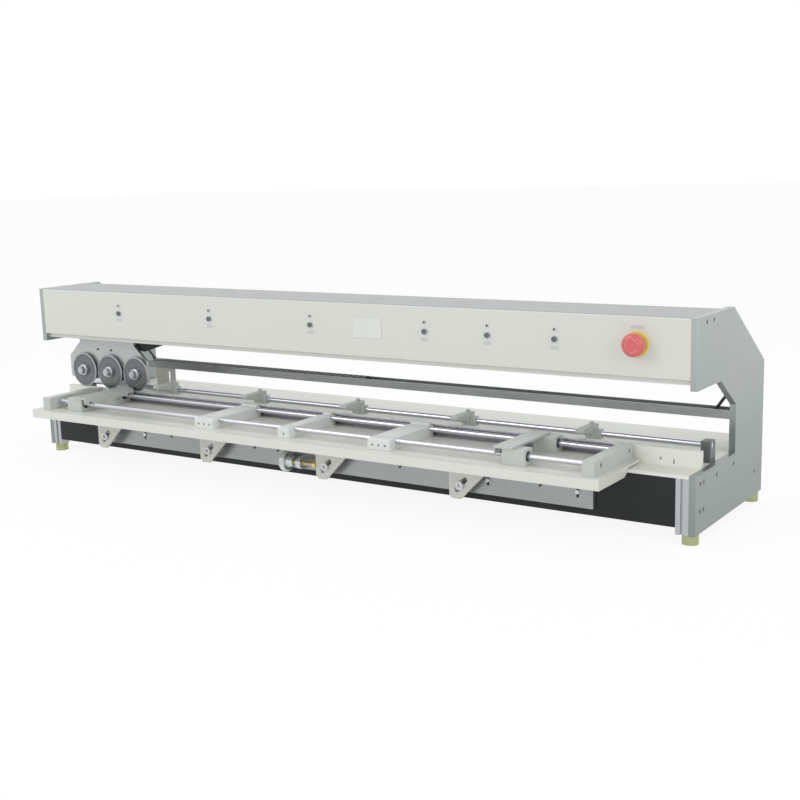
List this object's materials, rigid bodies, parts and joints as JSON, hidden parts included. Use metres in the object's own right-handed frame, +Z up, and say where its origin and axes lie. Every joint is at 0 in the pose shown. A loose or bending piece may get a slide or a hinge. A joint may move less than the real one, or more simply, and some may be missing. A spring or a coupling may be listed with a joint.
{
  "type": "pcb depaneling machine",
  "caption": "Long-bed board separator: overhead beam with a sliding multi-blade carriage above a straight knife, rear rest rod and a screw-lifted guide table.",
  "frame": {"origin": "on the resting surface under the middle of the overall box", "axes": "+X along the length towards the emergency stop end, +Y from the front to the back, +Z up"},
  "size_m": [1.6, 0.471, 0.388],
  "materials": {
    "plate_aluminium": "brushed, lightly anodised",
    "screw_steel": "dark oiled steel",
    "foot_brass": "pale turned brass",
    "bar_aluminium": "grey anodised",
    "carriage_aluminium": "smooth grey",
    "cream_paint": "satin warm white",
    "panel_black": "satin black",
    "block_steel": "dark steel",
    "knife_steel": "ground tool steel",
    "shaft_chrome": "hard chromed",
    "fitting_steel": "turned",
    "pad_brass": "turned brass",
    "bar_white": "satin white",
    "black_rubber": "matt",
    "black_plastic": "matt",
    "button_plastic": "glossy dark grey",
    "estop_yellow": "matt yellow",
    "estop_red": "glossy red"
  },
  "bodies": {
    "frame": {"end_plates": "plate_aluminium", "end_plate_screws": "screw_steel", "levelling_feet": "foot_brass", "corner_posts": "bar_aluminium", "base_top_plate": "cream_paint", "base_front_panel": "panel_black", "base_shell": "cream_paint", "upright_rail": "cream_paint", "lower_knife": "knife_steel", "rear_rod": "shaft_chrome", "rod_supports": "block_steel", "cable_tray": "bar_aluminium", "tray_bracket": "cream_paint", "cable_chain": "black_plastic", "beam_cover": "cream_paint", "beam_profile": "bar_aluminium", "linear_rail": "shaft_chrome", "drive_belt": "black_rubber", "drive_motor": "panel_black", "apron_bar": "bar_aluminium", "apron_fittings": "fitting_steel", "panel_fittings": "fitting_steel", "estop_collar": "estop_yellow", "power_inlet": "black_plastic", "side_cable": "black_rubber"},
    "table": {"table_tray": "cream_paint", "wedge_brackets": "cream_paint", "end_bars": "cream_paint", "guide_shafts": "shaft_chrome"},
    "carriage": {"carriage_plate": "carriage_aluminium", "carriage_blocks": "block_steel", "carriage_arm": "panel_black", "carriage_cable": "black_rubber"},
    "rod_clamp_1": {"rod_clamp_1": "cream_paint"},
    "rod_clamp_2": {"rod_clamp_2": "cream_paint"},
    "rod_clamp_3": {"rod_clamp_3": "cream_paint"},
    "rod_clamp_4": {"rod_clamp_4": "cream_paint"},
    "rod_clamp_5": {"rod_clamp_5": "cream_paint"},
    "support_bar_1": {"support_bar_1": "bar_white"},
    "support_bar_2": {"support_bar_2": "bar_white"},
    "support_bar_3": {"support_bar_3": "bar_white"},
    "slider_left": {"slider_left": "cream_paint"},
    "slider_right": {"slider_right": "cream_paint"},
    "thrust_pad": {"thrust_pad": "pad_brass"},
    "lift_screw": {"lift_screw": "fitting_steel"},
    "blade_1": {"blade_1": "knife_steel"},
    "blade_2": {"blade_2": "knife_steel"},
    "blade_3": {"blade_3": "knife_steel"},
    "drive_pulley": {"drive_pulley": "fitting_steel"},
    "idler_pulley": {"idler_pulley": "fitting_steel"},
    "estop_stem": {"estop_stem": "black_plastic"},
    "estop_head": {"estop_head": "estop_red"},
    "button_1": {"button_1": "button_plastic"},
    "button_2": {"button_2": "button_plastic"},
    "button_3": {"button_3": "button_plastic"},
    "button_4": {"button_4": "button_plastic"},
    "button_5": {"button_5": "button_plastic"},
    "button_6": {"button_6": "button_plastic"}
  },
  "joints": [
    {"name": "table_lift", "type": "slide", "parent": "frame", "child": "table", "axis": [0.6561, 0, 0.7547], "range_m": [-0.003, 0.01]},
    {"name": "screw_advance", "type": "slide", "parent": "frame", "child": "thrust_pad", "axis": [1, 0, 0], "range_m": [-0.0021, 0.0068]},
    {"name": "screw_turn", "type": "hinge", "parent": "thrust_pad", "child": "lift_screw", "pos_m": [-0.016, -0.1455, 0.063], "axis": [1, 0, 0], "range_deg": [-360, 1200]},
    {"name": "carriage_travel", "type": "slide", "parent": "frame", "child": "carriage", "axis": [1, 0, 0], "range_m": [0, 1.25]},
    {"name": "blade_1_spin", "type": "hinge", "parent": "carriage", "child": "blade_1", "pos_m": [-0.728, -0.0595, 0.1926], "axis": [0, 1, 0], "continuous": true},
    {"name": "blade_2_spin", "type": "hinge", "parent": "carriage", "child": "blade_2", "pos_m": [-0.643, -0.0595, 0.1926], "axis": [0, 1, 0], "continuous": true},
    {"name": "blade_3_spin", "type": "hinge", "parent": "carriage", "child": "blade_3", "pos_m": [-0.558, -0.0595, 0.1926], "axis": [0, 1, 0], "continuous": true},
    {"name": "drive_pulley_spin", "type": "hinge", "parent": "frame", "child": "drive_pulley", "pos_m": [0.74, -0.0345, 0.35], "axis": [0, 1, 0], "range_deg": [-4520, 20]},
    {"name": "idler_pulley_spin", "type": "hinge", "parent": "frame", "child": "idler_pulley", "pos_m": [-0.74, -0.0345, 0.35], "axis": [0, 1, 0], "range_deg": [-4520, 20]},
    {"name": "clamp_1_slide", "type": "slide", "parent": "frame", "child": "rod_clamp_1", "axis": [1, 0, 0], "range_m": [-0.06, 0.06]},
    {"name": "clamp_2_slide", "type": "slide", "parent": "frame", "child": "rod_clamp_2", "axis": [1, 0, 0], "range_m": [-0.06, 0.06]},
    {"name": "clamp_3_slide", "type": "slide", "parent": "frame", "child": "rod_clamp_3", "axis": [1, 0, 0], "range_m": [-0.06, 0.06]},
    {"name": "clamp_4_slide", "type": "slide", "parent": "frame", "child": "rod_clamp_4", "axis": [1, 0, 0], "range_m": [-0.06, 0.06]},
    {"name": "clamp_5_slide", "type": "slide", "parent": "frame", "child": "rod_clamp_5", "axis": [1, 0, 0], "range_m": [-0.06, 0.06]},
    {"name": "slider_left_slide", "type": "slide", "parent": "table", "child": "slider_left", "axis": [1, 0, 0], "range_m": [-0.04, 0.12]},
    {"name": "support_bar_1_slide", "type": "slide", "parent": "table", "child": "support_bar_1", "axis": [1, 0, 0], "range_m": [-0.18, 0.06]},
    {"name": "support_bar_2_slide", "type": "slide", "parent": "table", "child": "support_bar_2", "axis": [1, 0, 0], "range_m": [-0.1, 0.07]},
    {"name": "support_bar_3_slide", "type": "slide", "parent": "table", "child": "support_bar_3", "axis": [1, 0, 0], "range_m": [-0.11, 0.1]},
    {"name": "slider_right_slide", "type": "slide", "parent": "table", "child": "slider_right", "axis": [1, 0, 0], "range_m": [-0.11, 0.1]},
    {"name": "estop_push", "type": "slide", "parent": "frame", "child": "estop_stem", "axis": [0, 1, 0], "range_m": [0, 0.005], "stiffness_N_per_m": 800, "springref_m": -0.003},
    {"name": "estop_twist", "type": "hinge", "parent": "estop_stem", "child": "estop_head", "pos_m": [0.694, -0.1315, 0.34], "axis": [0, 1, 0], "range_deg": [0, 45], "stiffness_Nm_per_rad": 0.05, "springref_deg": -5.73},
    {"name": "button_1_push", "type": "slide", "parent": "frame", "child": "button_1", "axis": [0, 1, 0], "range_m": [0, 0.002], "stiffness_N_per_m": 400, "springref_m": -0.002},
    {"name": "button_2_push", "type": "slide", "parent": "frame", "child": "button_2", "axis": [0, 1, 0], "range_m": [0, 0.002], "stiffness_N_per_m": 400, "springref_m": -0.002},
    {"name": "button_3_push", "type": "slide", "parent": "frame", "child": "button_3", "axis": [0, 1, 0], "range_m": [0, 0.002], "stiffness_N_per_m": 400, "springref_m": -0.002},
    {"name": "button_4_push", "type": "slide", "parent": "frame", "child": "button_4", "axis": [0, 1, 0], "range_m": [0, 0.002], "stiffness_N_per_m": 400, "springref_m": -0.002},
    {"name": "button_5_push", "type": "slide", "parent": "frame", "child": "button_5", "axis": [0, 1, 0], "range_m": [0, 0.002], "stiffness_N_per_m": 400, "springref_m": -0.002},
    {"name": "button_6_push", "type": "slide", "parent": "frame", "child": "button_6", "axis": [0, 1, 0], "range_m": [0, 0.002], "stiffness_N_per_m": 400, "springref_m": -0.002}
  ],
  "couplings": [
    {"joint": "screw_advance", "follows": "table_lift", "ratio": 0.65606},
    {"joint": "screw_turn", "follows": "table_lift", "rad_per_m": 2061.1},
    {"joint": "drive_pulley_spin", "follows": "carriage_travel", "rad_per_m": -62.893},
    {"joint": "idler_pulley_spin", "follows": "carriage_travel", "rad_per_m": -62.893}
  ]
}
